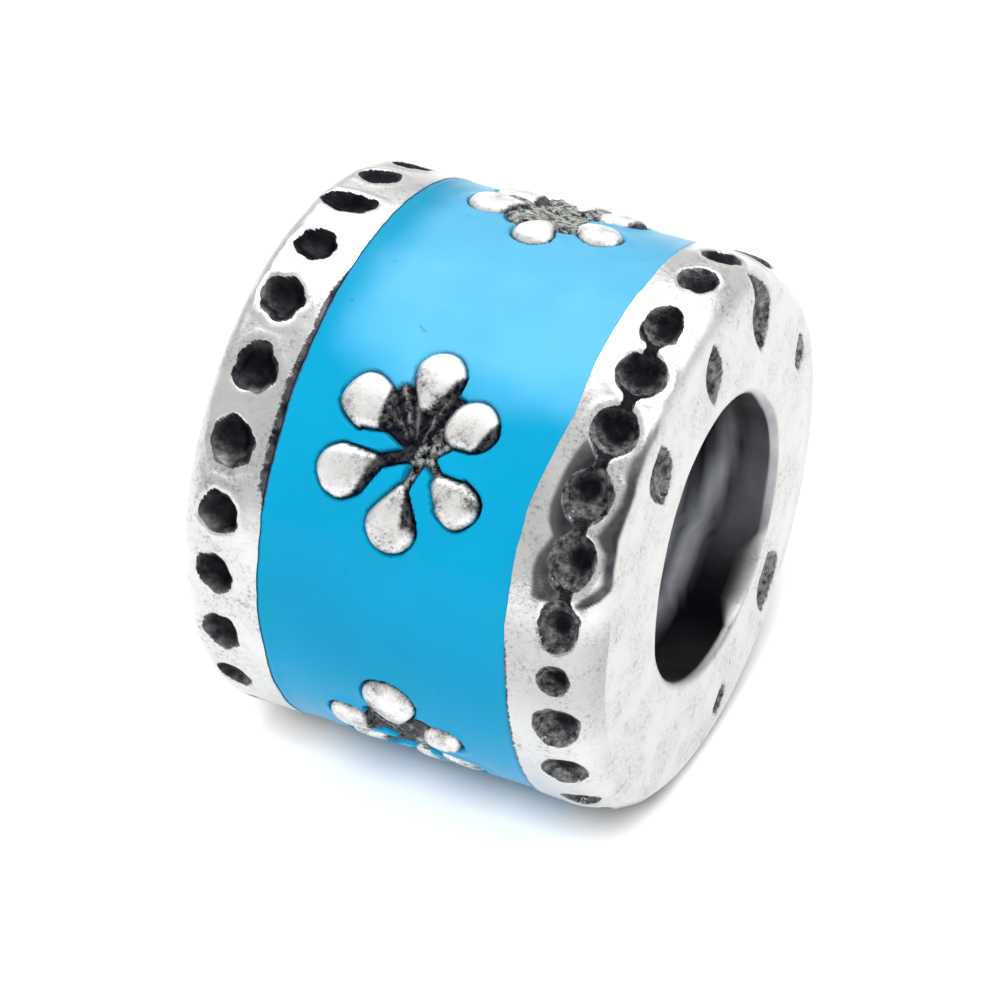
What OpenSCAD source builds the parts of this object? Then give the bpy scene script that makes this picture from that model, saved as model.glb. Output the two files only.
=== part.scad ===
// Bead charm for a bracelet: a short silver barrel with a wide bore, an enamel band and raised flowers.
// The bore runs along X and the middle of the bore is the origin. The bead lies on its side, +Z up.
// Angles round the bead start at the side that faces -Y and grow towards +Z.

/* [Barrel] */
// Diameter over the two rims
rim_d = 9.6; // [9:0.1:10.4]
// Length of the bead along its bore
bead_len = 7.6; // [7.2:0.1:8.4]
// Diameter of the bore
bore_d = 5; // [4.4:0.1:5.4]
// Rounding at both mouths of the bore
mouth_round = 0.15; // [0.05:0.05:0.25]
// Length along X of the rounding between the front rim and its end face
front_round_len = 0.9; // [0.6:0.05:1.1]
// Drop of the front rounding from the rim to the end face
front_round_drop = 0.6; // [0.4:0.05:0.8]
// Length along X of the rounding between the back rim and its end face
back_round_len = 0.45; // [0.3:0.05:0.7]
// Drop of the back rounding from the rim to the end face
back_round_drop = 0.5; // [0.3:0.05:0.7]
// Depth of the slight flat under the rims, on which the bead lies
rest_flat = 0.04; // [0.02:0.01:0.08]

/* [Enamel] */
// Width of the recess that holds the enamel
recess_w = 4.54; // [4.2:0.02:4.7]
// Depth of the recess under the rims
recess_depth = 0.6; // [0.4:0.05:0.8]
// How far the enamel stays under the rims
enamel_drop = 0.03; // [0:0.01:0.1]
// Gap between the enamel and the silver
enamel_gap = 0.02; // [0.01:0.01:0.04]

/* [Flowers] */
// Distance from the middle of a flower to the middle of each petal's head
petal_ring = 1.14; // [1.08:0.02:1.24]
// Diameter of a petal's round head
petal_d = 0.92; // [0.8:0.02:0.98]
// Height of the petals' crown over the rims
petal_rise = 0.12; // [0.06:0.02:0.2]
// Height of the dome on each petal's head
petal_dome = 0.12; // [0.08:0.02:0.2]
// Width of a petal's stem where it meets the hub
stem_w = 0.24; // [0.16:0.02:0.3]
// Diameter of the low hub in the middle
hub_d = 0.62; // [0.5:0.02:0.7]
// How far the hub and the webs lie under the rims
hub_drop = 0.12; // [0.06:0.02:0.2]

/* [Dimples] */
// Number of dimples round the front rim
front_dimples = 28; // [24:1:30]
// Number of dimples round the back rim
back_dimples = 25; // [22:1:30]
// Width of a dimple's mouth
dimple_w = 0.74; // [0.5:0.02:0.8]
// Depth of a dimple
dimple_depth = 0.24; // [0.1:0.02:0.3]
// Distance from the middle of the bead to each row of dimples
dimple_x = 3.05; // [2.9:0.01:3.1]

/* [Punch marks] */
// Length of a plain punch mark on the front face
punch_len = 0.8; // [0.5:0.05:0.9]
// Width of a punch mark
punch_w = 0.3; // [0.2:0.02:0.4]
// Depth of a punch mark
punch_depth = 0.15; // [0.05:0.01:0.2]

/* [Hidden] */

$fn = 48;
// Steps in each rounded corner, sunk length of what stands on the recess, and length past a cut face
round_steps = 6;
root = 0.1;
cut = 1;
// Petals of a flower, turn of the first one, turns and reach of the low webs between the upper petals
petals = 6;
petal_turn = 30;
web_turns = [60, 120];
web_reach = 0.95;
// Widths of a stem at the head and of a web at its rim, as shares of the head's diameter
stem_share = 0.86;
web_share = 0.7;

rim_r = rim_d / 2;
bore_r = bore_d / 2;
half_len = bead_len / 2;
recess_r = rim_r - recess_depth;
enamel_r = rim_r - enamel_drop;
crown_r = rim_r + petal_rise;
hub_r = rim_r - hub_drop;
punch_ring = (bore_r + mouth_round + rim_r - front_round_drop) / 2;

// One row for each flower: angle round the bead, shift of its middle along X, turn in its own plane
FLOWERS = [
    [111, 0.07, 0],
    [40.6, 0, 0],
    [-30.4, 0.03, 0],
    [-118, 0.05, 0],
    [176.5, 0.05, 0]
];

// Angle of the first dimple on each rim, and the angles of the plain punch marks on the front face
front_phase = 108.2;
back_phase = 103.9;
PUNCH_ANGLES = [149, 116, 83, 50, -97, -134];

// Points of a quarter ellipse from the axial end point to the radial end point, as [radius, x]
function quarter(r, x, drop, len, side) = [
    for (i = [0 : round_steps])
        let (t = 90 * i / round_steps)
        [r - drop * (1 - sin(t)), side * (x - len * (1 - cos(t)))]
];

function reversed(list) = [for (i = [len(list) - 1 : -1 : 0]) list[i]];

// Turns +Z outwards at one angle round the bead
module at_angle(angle) {
    rotate([90 - angle, 0, 0]) children();
}

// Outline of the barrel's wall as [radius, x], from the front mouth round to the back mouth
module wall_outline() {
    front_mouth = quarter(bore_r, half_len, -mouth_round, mouth_round, 1);
    front_edge = quarter(rim_r, half_len, front_round_drop, front_round_len, 1);
    back_edge = quarter(rim_r, half_len, back_round_drop, back_round_len, -1);
    back_mouth = quarter(bore_r, half_len, -mouth_round, mouth_round, -1);
    recess = [
        [rim_r, recess_w / 2],
        [recess_r, recess_w / 2],
        [recess_r, -recess_w / 2],
        [rim_r, -recess_w / 2]
    ];
    polygon(concat(
        reversed(front_mouth),
        front_edge,
        recess,
        reversed(back_edge),
        back_mouth
    ));
}

module wall() {
    rotate([0, 90, 0]) rotate_extrude() wall_outline();
}

// Block that takes off all that reaches lower than depth under the bore's middle
module below(depth) {
    translate([-half_len - cut, -crown_r, -crown_r - cut])
        cube([bead_len + 2 * cut, 2 * crown_r, crown_r + cut - depth]);
}

// Domed round head of a petal, grown sideways by grow, with its top at top_r
module petal_head(grow, top_r, dome) {
    r = petal_d / 2 + grow;
    profile = [for (i = [0 : round_steps])
        let (t = 90 * i / round_steps)
        [r * cos(t), top_r - dome * (1 - sin(t))]
    ];
    rotate_extrude() polygon(concat([[0, recess_r - root], [r, recess_r - root]], profile));
}

// Tapered stem from the hub to a petal's head, centred half way out, its top falling towards the hub
module petal_stem(grow, head_top, hub_top) {
    half = petal_ring / 2;
    head_w = petal_d * stem_share;
    intersection() {
        linear_extrude(height = crown_r + cut)
            polygon([
                [-half, -stem_w / 2 - grow],
                [half, -head_w / 2 - grow],
                [half, head_w / 2 + grow],
                [-half, stem_w / 2 + grow]
            ]);
        rotate([90, 0, 0])
            linear_extrude(height = petal_d + 2 * grow + cut, center = true)
                polygon([
                    [-half, recess_r - root],
                    [half, recess_r - root],
                    [half, head_top],
                    [-half, hub_top]
                ]);
    }
}

// Low web of silver between two petals, centred half way out
module petal_web(grow, top_r) {
    half = web_reach / 2;
    outer_w = petal_d * web_share;
    translate([0, 0, recess_r - root])
        linear_extrude(height = top_r - recess_r + root)
            polygon([
                [-half, -stem_w / 2 - grow],
                [half + grow, -outer_w / 2],
                [half + grow, outer_w / 2],
                [-half, stem_w / 2 + grow]
            ]);
}

// Places a piece of a flower at a distance and a turn from the flower's middle, wrapped round the barrel
module on_flower(flower, distance, turn) {
    angle = flower[0] + (distance * sin(turn)) / rim_r * 180 / PI;
    at_angle(angle)
        translate([flower[1] + distance * cos(turn), 0, 0])
            rotate([0, 0, turn])
                children();
}

// One whole flower. With grow above 0 it is the cutter for the enamel's opening, straight-sided.
module flower_shape(flower, grow) {
    through = grow > 0;
    top = through ? crown_r + cut : crown_r;
    dome = through ? 0 : petal_dome;
    low = through ? crown_r + cut : hub_r;
    stem_top = through ? crown_r + cut : crown_r - petal_dome / 2;
    for (i = [0 : petals - 1]) {
        turn = flower[2] + petal_turn + 360 * i / petals;
        on_flower(flower, petal_ring, turn) petal_head(grow, top, dome);
        on_flower(flower, petal_ring / 2, turn) petal_stem(grow, stem_top, low);
    }
    for (web = web_turns)
        on_flower(flower, web_reach / 2, flower[2] + web) petal_web(grow, low);
    on_flower(flower, 0, 0)
        translate([0, 0, recess_r - root])
            cylinder(d = hub_d + 2 * grow, h = low - recess_r + root);
}

// Round pit in a rim, cut by a ball that leaves a mouth of dimple_w and a depth of dimple_depth
module dimple(angle, x) {
    ball_r = (pow(dimple_w / 2, 2) + pow(dimple_depth, 2)) / (2 * dimple_depth);
    at_angle(angle) translate([x, 0, rim_r + ball_r - dimple_depth]) sphere(r = ball_r);
}

module dimple_row(count, phase, x) {
    for (i = [0 : count - 1]) dimple(phase - 360 * i / count, x);
}

// Plain lens-shaped punch mark in the front face, its long way pointing outwards
module punch_mark(angle) {
    lens_r = (pow(punch_len / 2, 2) + pow(punch_w / 2, 2)) / punch_w;
    at_angle(angle)
        translate([half_len - punch_depth, 0, punch_ring])
            rotate([0, 90, 0])
                intersection() {
                    translate([0, lens_r - punch_w / 2, 0]) cylinder(r = lens_r, h = cut);
                    translate([0, punch_w / 2 - lens_r, 0]) cylinder(r = lens_r, h = cut);
                }
}

module silver_body() {
    color("silver")
        difference() {
            union() {
                wall();
                for (flower = FLOWERS) flower_shape(flower, 0);
            }
            dimple_row(front_dimples, front_phase, dimple_x);
            dimple_row(back_dimples, back_phase, -dimple_x);
            for (angle = PUNCH_ANGLES) punch_mark(angle);
            below(rim_r - rest_flat);
        }
}

module enamel_band() {
    inner_r = recess_r + enamel_gap;
    half_w = recess_w / 2 - enamel_gap;
    color("deepskyblue")
        difference() {
            rotate([0, 90, 0])
                rotate_extrude()
                    translate([inner_r, -half_w])
                        square([enamel_r - inner_r, 2 * half_w]);
            for (flower = FLOWERS) flower_shape(flower, enamel_gap);
            below(enamel_r - rest_flat);
        }
}

silver_body();
enamel_band();
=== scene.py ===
"""Looks of the bead charm: cast silver, fired enamel, a white table and soft studio light."""

import math

import bpy
import numpy as np
from mathutils import Matrix, Vector


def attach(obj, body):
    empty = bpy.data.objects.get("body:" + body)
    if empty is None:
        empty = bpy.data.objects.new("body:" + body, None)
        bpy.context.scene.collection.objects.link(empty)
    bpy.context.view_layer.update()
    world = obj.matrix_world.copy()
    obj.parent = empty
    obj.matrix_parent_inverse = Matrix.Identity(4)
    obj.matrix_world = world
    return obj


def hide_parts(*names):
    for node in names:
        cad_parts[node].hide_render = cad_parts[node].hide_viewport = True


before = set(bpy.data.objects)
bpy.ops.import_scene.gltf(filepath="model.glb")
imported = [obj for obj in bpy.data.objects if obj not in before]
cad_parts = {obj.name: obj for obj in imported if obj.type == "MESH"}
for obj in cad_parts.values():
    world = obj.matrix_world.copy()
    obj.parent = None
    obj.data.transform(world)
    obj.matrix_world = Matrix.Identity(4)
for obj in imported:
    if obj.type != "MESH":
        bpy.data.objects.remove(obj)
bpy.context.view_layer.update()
scene = bpy.context.scene

MM = 0.001
# Sizes in mm, as in the part's source. Angles start at -Y and grow towards +Z. A side is 1 for the
# front half, which ends at +X, and -1 for the back half.
RIM_R = 4.8
HALF_LEN = 3.8
BORE_R = 2.5
# Rounding of the bore's mouths
MOUTH = 0.15
# Distance from the middle of the bead to the edges between the rims and the enamel
EDGE = 2.27
# Floor of the recess, skin and inside of the enamel, and the enamel's gap to the rims
FLOOR_R = 4.2
ENAMEL_R = 4.77
ENAMEL_INNER_R = 4.22
ENAMEL_GAP = 0.004
# Top of the petals, level of the webs between them, and foot of their sides, hidden in the enamel
CROWN_R = 4.92
WEB_R = 4.72
SINK_R = 4.6
# Depth of the flat on which the bead lies
REST_FLAT = 0.04
# Length along X and drop of the rounding beside each end face
ROUND = {1: (0.9, 0.6), -1: (0.45, 0.5)}


# Noise that joins up everywhere, because it is read at points in space

CELLS = 24
NOISE_SHIFT = 7.3
LATTICES = [np.random.default_rng(seed).random((CELLS, CELLS, CELLS)) for seed in range(11, 17)]


def noise(points, per_mm, which):
    """Smooth noise from 0 to 1 at points in mm, with per_mm cells of one lattice to a millimetre."""
    grid = LATTICES[which]
    q = np.asarray(points) * per_mm + NOISE_SHIFT
    cell = np.floor(q).astype(int)
    f = q - cell
    f = f * f * (3 - 2 * f)
    out = 0
    for dx in (0, 1):
        for dy in (0, 1):
            for dz in (0, 1):
                w = np.where(dx, f[..., 0], 1 - f[..., 0])
                w = w * np.where(dy, f[..., 1], 1 - f[..., 1])
                w = w * np.where(dz, f[..., 2], 1 - f[..., 2])
                corner = (cell + (dx, dy, dz)) % CELLS
                out = out + w * grid[corner[..., 0], corner[..., 1], corner[..., 2]]
    return out


def rough(points, per_mm, which):
    """Two octaves of noise, from -1 to 1."""
    both = noise(points, per_mm, which) + 0.5 * noise(points, 2.1 * per_mm, which)
    return both / 0.75 - 1


def step(a, b, x):
    """0 at a, 1 at b, smooth between them."""
    t = np.clip((np.asarray(x) - a) / (b - a), 0, 1)
    return t * t * (3 - 2 * t)


def place(x, r, theta):
    """Points in mm from places along the bore, radii and angles in radians."""
    x, r, theta = np.broadcast_arrays(x, r, theta)
    return np.stack([x, -r * np.cos(theta), r * np.sin(theta)], -1)


def around(theta, middle):
    """Angle from middle to theta in radians, the short way round."""
    return (theta - middle + math.pi) % (2 * math.pi) - math.pi


def degrees(theta, middle=0):
    """Angles in degrees, within half a turn of middle."""
    return np.degrees(around(theta, math.radians(middle))) + middle


def polar(turn, distance):
    """Place in a plane from a turn in degrees and a distance."""
    return distance * math.cos(math.radians(turn)), distance * math.sin(math.radians(turn))


# Meshes

def mesh_piece(name, points, faces, masks, material, crease):
    """A piece that rides on the body, from points in mm, with one float attribute for each mask."""
    mesh = bpy.data.meshes.new(name)
    mesh.from_pydata((points.reshape(-1, 3) * MM).tolist(), [], faces.tolist())
    for key, values in masks.items():
        layer = mesh.attributes.new(key, "FLOAT", "POINT")
        layer.data.foreach_set("value", np.ravel(values).astype(np.float32))
    mesh.shade_smooth()
    mesh.set_sharp_from_angle(angle=math.radians(crease))
    mesh.materials.append(material)
    piece = bpy.data.objects.new(name, mesh)
    scene.collection.objects.link(piece)
    return piece


def loop_faces(rows, columns):
    """Quads of a closed loop of rows, each row a closed ring of columns."""
    index = np.arange(rows * columns).reshape(rows, columns)
    below = np.roll(index, -1, 0)
    quads = np.stack([index, np.roll(index, -1, 1), np.roll(below, -1, 1), below], -1)
    return quads.reshape(-1, 4)


# Edges between the rims and the enamel, which wander a little: angle, shift along X

FRONT_EDGE = [(-50, 0), (-36, 0.03), (-18, 0.03), (-8, 0), (0, -0.02), (10, -0.07), (20, -0.09),
              (30, -0.10), (38, -0.07), (46, 0.02), (51, 0.08), (56, 0.14), (64, 0.10), (84, 0.10),
              (92, 0.12), (102, 0.08), (125, 0)]
BACK_EDGE = [(-50, 0), (-22, 0.035), (-12, 0.06), (0, 0.02), (20, 0.01), (45, 0.03), (65, 0.05),
             (80, 0.06), (100, 0.06), (125, 0)]


def edge_x(side, theta):
    """Place along X of the rim's edge over the enamel on one side."""
    table = np.array(FRONT_EDGE if side > 0 else BACK_EDGE)
    shift = np.interp(degrees(theta, 45), table[:, 0], table[:, 1])
    ring = place(side * 2.0, RIM_R, theta)
    return side * EDGE + shift + 0.025 * rough(ring, 1.6, 0) + 0.012 * rough(ring, 6.0, 1)


# Dimples seen in the photo: angle, place along X, width along X, length round the rim, depth.
# The hidden ones follow at the same pitch.

FRONT_DIMPLES = [
    (110.2, 2.95, 0.68, 0.70, 0.20),
    (96.2, 3.03, 0.66, 0.83, 0.24),
    (79.6, 3.03, 0.64, 0.96, 0.27),
    (67.4, 3.12, 0.82, 0.88, 0.27),
    (54.9, 3.10, 0.78, 0.86, 0.26),
    (41.6, 3.05, 0.79, 0.98, 0.27),
    (28.8, 3.08, 0.76, 1.00, 0.26),
    (15.8, 3.05, 0.67, 0.88, 0.23),
    (4.4, 3.06, 0.54, 0.58, 0.18),
    (-7.4, 3.10, 0.78, 0.90, 0.23),
    (-21.5, 3.12, 0.75, 0.80, 0.20),
    (-36.0, 3.16, 0.66, 0.60, 0.16),
]
BACK_DIMPLES = [
    (103.6, -3.03, 0.68, 0.74, 0.22),
    (90.2, -3.04, 1.02, 0.60, 0.24),
    (76.0, -3.00, 0.72, 0.72, 0.24),
    (62.2, -3.04, 0.80, 0.84, 0.24),
    (47.2, -2.98, 0.80, 0.88, 0.24),
    (32.2, -3.00, 0.82, 0.84, 0.24),
    (17.9, -3.02, 0.70, 0.76, 0.22),
    (4.6, -3.04, 0.68, 0.74, 0.22),
    (-10.7, -3.02, 0.66, 0.88, 0.22),
    (-26.4, -3.06, 0.66, 0.72, 0.18),
    (-42.0, -3.06, 0.40, 0.36, 0.06),
]
DIMPLE_COUNT = {1: 27, -1: 25}
# How uneven the outline of a dimple is
RAGGED = {1: 0.045, -1: 0.10}
# Between these angles low necks join the front dimples into a chain
NECKS = (14, 82)
NECK_DEPTH = 0.10


def dimples(side):
    """Every dimple of one rim, with small random changes to the hidden ones."""
    rows = list(FRONT_DIMPLES if side > 0 else BACK_DIMPLES)
    draw = np.random.default_rng(40 + side)
    first, last = rows[0][0], rows[-1][0]
    hidden = DIMPLE_COUNT[side] - len(rows)
    pitch = (360 - (first - last)) / (hidden + 1)
    for i in range(hidden):
        jitter = draw.uniform(-1, 1, 5)
        rows.append((last - pitch * (i + 1) + jitter[0], side * 3.06 + 0.04 * jitter[1],
                     0.72 + 0.08 * jitter[2], 0.76 + 0.08 * jitter[3], 0.22 + 0.02 * jitter[4]))
    return rows


def dimple_field(side, x, theta):
    """Depth in mm of the dimples, how far a point lies inside one, the lips round them, and how far
    it lies from the dimple's dirty core, from 0 in the core to 1 at the mouth, nearer 1 on the wall
    painted as lit from above."""
    depth = np.zeros(np.broadcast(x, theta).shape)
    inside, lip, pit = np.zeros_like(depth), np.zeros_like(depth), np.ones_like(depth)
    draw, cores = np.random.default_rng(60 + side), np.random.default_rng(90 + side)
    rows = dimples(side)
    for angle, middle, width, length, deep in rows:
        du = (x - middle) / width
        dv = around(theta, math.radians(angle)) * RIM_R / length
        turn = np.arctan2(dv, du)
        reach = 0.5 * np.ones_like(turn)
        for waves in (2, 3, 5, 8):
            size = draw.uniform(0.3, 1) * RAGGED[side] / math.sqrt(waves - 1)
            reach = reach * (1 + size * np.cos(waves * turn + draw.uniform(0, 6.28)))
        t = np.hypot(du, dv) / reach
        bowl = 0.3 * np.clip(1 - t ** 6, 0, 1) + 0.7 * np.clip(1 - (t / 0.86) ** 2.4, 0, 1)
        depth = np.maximum(depth, deep * bowl)
        inside = np.maximum(inside, step(1.06, 0.94, t))
        lip = np.maximum(lip, np.exp(-((t - 1.22) / 0.18) ** 2))
        # The wall that faces up is painted lighter than the one over it, as lit from above
        du, dv = du - cores.uniform(-0.12, 0.16), dv - cores.uniform(-0.08, 0.14)
        lit_side = step(-0.6, 0.7, (0.3 * du - 0.95 * dv) / (np.hypot(du, dv) + 0.01))
        pit = np.minimum(pit, np.where(t < 1, np.hypot(du, dv) / reach * (0.6 + 0.4 * lit_side), 1))
    if side > 0:
        for (top, x0, *_), (low, x1, *_) in zip(rows, rows[1:]):
            if not (NECKS[0] < low and top < NECKS[1]):
                continue
            t = np.clip(around(theta, math.radians(low)) / math.radians(top - low), 0, 1)
            off = np.abs(x - (x1 + (x0 - x1) * t))
            between = (around(theta, math.radians(low)) > 0) & (around(theta, math.radians(top)) < 0)
            waist = np.minimum(0.10 + 0.6 * (2 * t - 1) ** 2, 0.30)
            neck = step(waist + 0.04, waist - 0.04, off) * between
            depth = np.maximum(depth, NECK_DEPTH * neck)
            inside = np.maximum(inside, 0.9 * neck)
            pit = np.where((neck > 0.3) & (pit > 0.95), 0.3, pit)
    # The upper front dimples are darker, and the back ones darker still, most of all high up
    angle = degrees(theta, 90)
    wall_level = 1 - 0.35 * step(46, 58, angle) if side > 0 else 0.50 - 0.2 * step(66, 74, angle)
    return depth, inside, lip, pit * wall_level


# Painted dark reflection on the front rim. Left of the dimples: angle, place where it starts.
# On the rounded corner: angle, where it starts, where it ends.

DARK_REFLECTION = [(20.5, 2.53), (23.5, 2.51), (26, 2.48), (28.5, 2.51), (30.7, 2.60), (32.9, 2.68),
         (35.3, 2.55), (38, 2.51), (43, 2.55), (46, 2.58), (49, 2.64), (52, 2.74), (56, 2.82),
         (60, 2.95)]
CORNER_REFLECTION = [(20.6, 3.27, 3.42), (22.4, 3.32, 3.58), (24.5, 3.50, 3.67), (26, 3.57, 3.68),
                (29, 3.54, 3.66), (32, 3.52, 3.65), (33.5, 3.43, 3.64), (35, 3.36, 3.63),
                (38.6, 3.47, 3.64), (42, 3.54, 3.65), (45, 3.53, 3.65), (47.6, 3.49, 3.63),
                (50, 3.49, 3.63), (54, 3.55, 3.63), (58, 3.59, 3.65), (62, 3.58, 3.61)]


def dark_reflection_field(x, theta):
    """How dark the painted reflection on the front rim is round its dimples, with painted shade under
    it, 0 to 1.
    """
    angle = degrees(theta) * np.ones_like(x)
    left = np.array(DARK_REFLECTION)
    start = np.interp(angle, left[:, 0], left[:, 1])
    first = 0.85 * step(start - 0.04, start + 0.05, x) + 0.15 * step(start + 0.02, start + 0.3, x)
    first = first * step(3.20, 3.05, x) * step(19.8, 20.8, angle) * step(64, 50, angle)
    right = np.array(CORNER_REFLECTION)
    low, high = (np.interp(angle, right[:, 0], right[:, i]) for i in (1, 2))
    second = step(low - 0.06, low + 0.05, x) * step(high + 0.025, high - 0.015, x)
    second = second * step(19.8, 21.2, angle) * step(64, 58, angle)
    second = second * (0.6 + 0.4 * step(58, 44, angle))
    # Under it a thin painted shade fades out downwards
    floor_shade = 0.34 * step(20, 11, angle) * (1 - 0.85 * step(3, -15, angle)) * step(-75, -45, angle)
    return np.maximum(np.maximum(first, second), floor_shade)


# Plain punch marks on the front face: angle, radius of the middle, length, width, turn from radial

PUNCHES = [
    (152.5, 3.86, 0.80, 0.55, -62),
    (114, 3.98, 1.50, 0.84, -24),
    (84, 3.68, 1.20, 0.66, 6),
    (51.7, 3.74, 1.20, 0.80, 38),
    (-98.2, 3.80, 0.72, 0.56, 8),
    (-135, 3.48, 1.40, 1.10, 45),
]
PUNCH_DEPTH = 0.15


def punch_field(r, theta):
    """Depth in mm of the plain punch marks, and how far a point lies inside one."""
    depth = np.zeros(np.broadcast(r, theta).shape)
    inside = np.zeros_like(depth)
    for angle, middle, length, width, tilt in PUNCHES:
        c, s = polar(tilt, 1)
        u, v = r - middle, around(theta, math.radians(angle)) * middle
        t = np.abs(v * c - u * s) / (width / 2) + ((u * c + v * s) / (length / 2)) ** 2
        depth = np.maximum(depth, PUNCH_DEPTH * np.clip((1 - t) * 1.8, 0, 1))
        inside = np.maximum(inside, 0.85 * step(1.15, 0.75, t))
    return depth, inside


# Worn mouth of the front bore: angle, how much wider than the round one, length of its rounding

MOUTH_WEAR = [(-120, -0.08, 0.42), (-108, -0.08, 0.15), (-60, -0.12, 0.15), (-15, -0.10, 0.15),
              (8, -0.15, 0.15), (26, -0.09, 0.15), (39, -0.01, 0.15), (50, 0.05, 0.15),
              (60, 0.12, 0.15), (75, 0.17, 0.15), (90, 0.18, 0.15), (106, 0.13, 0.15),
              (120, 0.08, 0.15), (137, -0.04, 0.15), (180, -0.07, 0.15), (210, -0.08, 0.15),
              (219, -0.08, 0.42), (240, -0.08, 0.42)]
# Painted reflection on the bore's wall: angle from the top round the far side to the bottom, middle
# of the pale ring along X, its half width, how pale it is, and how pale the wall is painted nearer the
# mouth
BORE_REFLECTION_RING = [(10, 2.9, 0.12, 0.3, 0.12), (100, 3.3, 0.10, 0.2, 0.15), (144, 3.0, 0.16, 0.6, 0.40),
             (166, 2.98, 0.20, 0.75, 0.50), (180, 2.85, 0.18, 0.85, 0.45), (195, 2.76, 0.18, 1, 0.40),
             (208, 2.60, 0.20, 0.8, 0.30), (219, 2.52, 0.20, 0.75, 0.05), (243, 2.48, 0.17, 0.9, 0),
             (257, 2.50, 0.15, 0.7, 0), (280, 2.5, 0.15, 0.5, 0.1), (370, 2.9, 0.12, 0.3, 0.12)]
# Turns in degrees over which the tone is averaged
TONE_TURNS = (-12, -6, 0, 6, 12)


def mouth_wear(theta):
    """Widening and rounding length of the front mouth at angles in radians."""
    table = np.array(MOUTH_WEAR)
    angle = degrees(theta, 60)
    return tuple(np.interp(angle, table[:, 0], table[:, i]) for i in (1, 2))


def painted_bore_tone(x, theta):
    """How pale the bore's wall is painted, 0 to 1: a reflecting ring and paler wall near the mouth over
    painted shade, and bare pale metal deep in it.
    """
    table = np.array(BORE_REFLECTION_RING)
    angle = degrees(theta, 190)
    middle, half, pale, near = (
        sum(np.interp(angle + turn, table[:, 0], table[:, i]) for turn in TONE_TURNS) / len(TONE_TURNS)
        for i in (1, 2, 3, 4)
    )
    ring = pale * np.exp(-((x - middle) / half) ** 2)
    outside = near * step(middle + 0.05, middle + 0.6, x)
    return np.clip(np.maximum(ring, outside) + step(2.35, 1.9, x), 0, 1)


# Half of the silver barrel: bore, mouth, end face, rounded corner, rim with dimples, recess

# How far the recess's wall leans outwards from its foot to the rim
WALL_LEAN = 0.03


def shell_rows(side, theta, counts):
    """Rows as (x, r, outward x, outward r) and their zones, from the middle of the bore round the
    end face to the middle of the recess."""
    drop_x, drop_r = ROUND[side]
    bore, mouth, face, corner, rim, wall, floor = counts
    one = np.ones_like(theta)
    rows, zones = [], []

    def add(zone, x, r, nx, nr):
        rows.append((side * x * one, r * one, side * nx, nr))
        zones.append(zone)

    wider, length = mouth_wear(theta) if side > 0 else (0 * one, MOUTH * one)
    for t in np.linspace(0, 1, bore):
        x = (HALF_LEN - length) * (1 - (1 - t) ** 1.5)
        add("bore", x, BORE_R + wider * step(1.0, 3.6, x), 0, -1)
    for t in np.linspace(0, math.pi / 2, mouth + 1)[1:]:
        add("mouth", HALF_LEN - length + length * math.sin(t),
            BORE_R + wider + MOUTH - MOUTH * math.cos(t), math.sin(t), -math.cos(t))
    for t in np.linspace(0, 1, face + 1)[1:]:
        add("face", HALF_LEN, (BORE_R + wider + MOUTH) * (1 - t) + (RIM_R - drop_r) * t, 1, 0)
    for t in np.linspace(0, math.pi / 2, corner + 1)[1:]:
        nx, nr = math.cos(t) / drop_x, math.sin(t) / drop_r
        size = math.hypot(nx, nr)
        add("corner", HALF_LEN - drop_x + drop_x * math.cos(t), RIM_R - drop_r + drop_r * math.sin(t),
            nx / size, nr / size)
    edge = side * edge_x(side, theta)
    for t in np.linspace(0, 1, rim + 1)[1:]:
        add("rim", (HALF_LEN - drop_x) * (1 - t) + edge * t, RIM_R, 0, 1)
    for t in np.linspace(0, 1, wall + 1)[1:]:
        add("wall", edge - WALL_LEAN * t, RIM_R - (RIM_R - FLOOR_R) * t, -1, 0)
    for t in np.linspace(0, 1, floor + 1)[1:]:
        add("floor", (edge - WALL_LEAN) * (1 - t), FLOOR_R, 0, 1)
    return rows, np.array(zones)


def edge_dirt(side, x, theta):
    """Grainy dark edge over the enamel, thin on the lower front rim and broad on the upper back one."""
    off_edge = np.abs(x - edge_x(side, theta)) * np.ones_like(x)
    angle = degrees(theta)
    if side > 0:
        return 0.66 * step(0.10, 0.0, off_edge) * step(20, 6, angle)
    width = 0.15 + 0.08 * step(62, 42, angle)
    upper = step(19, 27, angle) * step(76, 64, angle)
    return step(width, 0.4 * width, off_edge) * (0.66 * upper + 0.3 * step(0.06, 0.0, off_edge))


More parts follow.
